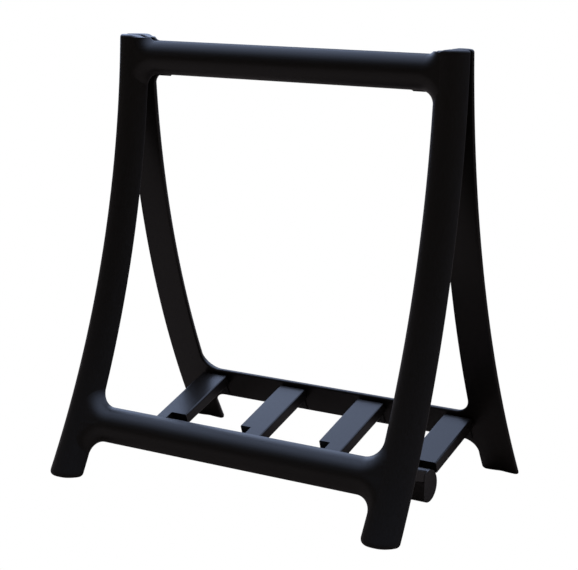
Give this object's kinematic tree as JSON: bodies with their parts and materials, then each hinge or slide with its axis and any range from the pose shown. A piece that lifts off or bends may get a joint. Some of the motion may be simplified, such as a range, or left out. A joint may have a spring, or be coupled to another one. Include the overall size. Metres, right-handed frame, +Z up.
{
  "type": "folding rack",
  "caption": "Folding rack: two bowed half-round wooden frames hinged under their top rails, joined low down by a V-shaped slatted shelf that folds over a centre bar.",
  "frame": {"origin": "on the floor, midway between the four feet", "axes": "+X along the rails, to the right seen from the front; -Y is the front; +Z up"},
  "size_m": [0.4668, 0.3216, 0.5],
  "materials": {
    "frame_paint": "satin black paint on solid wood",
    "slat_paint": "satin black paint on solid wood, a little smoother on top",
    "bar_paint": "satin black paint on a round wooden bar",
    "hinge_steel": "black lacquered steel",
    "pin_steel": "dark steel pin",
    "screw_steel": "blackened steel screw"
  },
  "bodies": {
    "front_frame": {"bottom_rail_front": "frame_paint", "leg_front_left": "frame_paint", "leg_front_right": "frame_paint", "rail_leaf_front_left": "hinge_steel", "rail_leaf_front_mid_left": "hinge_steel", "rail_leaf_front_mid_right": "hinge_steel", "rail_leaf_front_right": "hinge_steel", "rail_pins_front": "pin_steel", "rail_screws_front": "screw_steel", "top_leaf_front_left": "hinge_steel", "top_leaf_front_right": "hinge_steel", "top_pins": "pin_steel", "top_rail_front": "frame_paint", "top_screws_front": "screw_steel"},
    "front_shelf": {"bar": "bar_paint", "knuckle_pins": "pin_steel", "shelf_leaf_front_left": "hinge_steel", "shelf_leaf_front_mid_left": "hinge_steel", "shelf_leaf_front_mid_right": "hinge_steel", "shelf_leaf_front_right": "hinge_steel", "shelf_screws_front": "screw_steel", "slat_front_left": "slat_paint", "slat_front_mid_left": "slat_paint", "slat_front_mid_right": "slat_paint", "slat_front_right": "slat_paint"},
    "back_shelf": {"shelf_leaf_back_left": "hinge_steel", "shelf_leaf_back_mid_left": "hinge_steel", "shelf_leaf_back_mid_right": "hinge_steel", "shelf_leaf_back_right": "hinge_steel", "shelf_screws_back": "screw_steel", "slat_back_left": "slat_paint", "slat_back_mid_left": "slat_paint", "slat_back_mid_right": "slat_paint", "slat_back_right": "slat_paint"},
    "back_frame": {"bottom_rail_back": "frame_paint", "leg_back_left": "frame_paint", "leg_back_right": "frame_paint", "rail_leaf_back_left": "hinge_steel", "rail_leaf_back_mid_left": "hinge_steel", "rail_leaf_back_mid_right": "hinge_steel", "rail_leaf_back_right": "hinge_steel", "rail_pins_back": "pin_steel", "rail_screws_back": "screw_steel", "top_leaf_back_left": "hinge_steel", "top_leaf_back_right": "hinge_steel", "top_rail_back": "frame_paint", "top_screws_back": "screw_steel"}
  },
  "joints": [
    {"name": "front_shelf_fold", "type": "hinge", "parent": "front_frame", "child": "front_shelf", "pos_m": [0, -0.1101, 0.05603], "axis": [1, 0, 0], "range_deg": [-57.86, 0]},
    {"name": "middle_knuckle", "type": "hinge", "parent": "front_shelf", "child": "back_shelf", "pos_m": [0, 0, 0.02911], "axis": [1, 0, 0], "range_deg": [0, 99.13]},
    {"name": "back_shelf_fold", "type": "hinge", "parent": "back_shelf", "child": "back_frame", "pos_m": [0, 0.1101, 0.05603], "axis": [1, 0, 0], "range_deg": [-57.87, 0]}
  ],
  "couplings": [
    {"joint": "middle_knuckle", "follows": "front_shelf_fold", "ratio": -1.7131},
    {"joint": "back_shelf_fold", "follows": "front_shelf_fold", "ratio": 1}
  ]
}
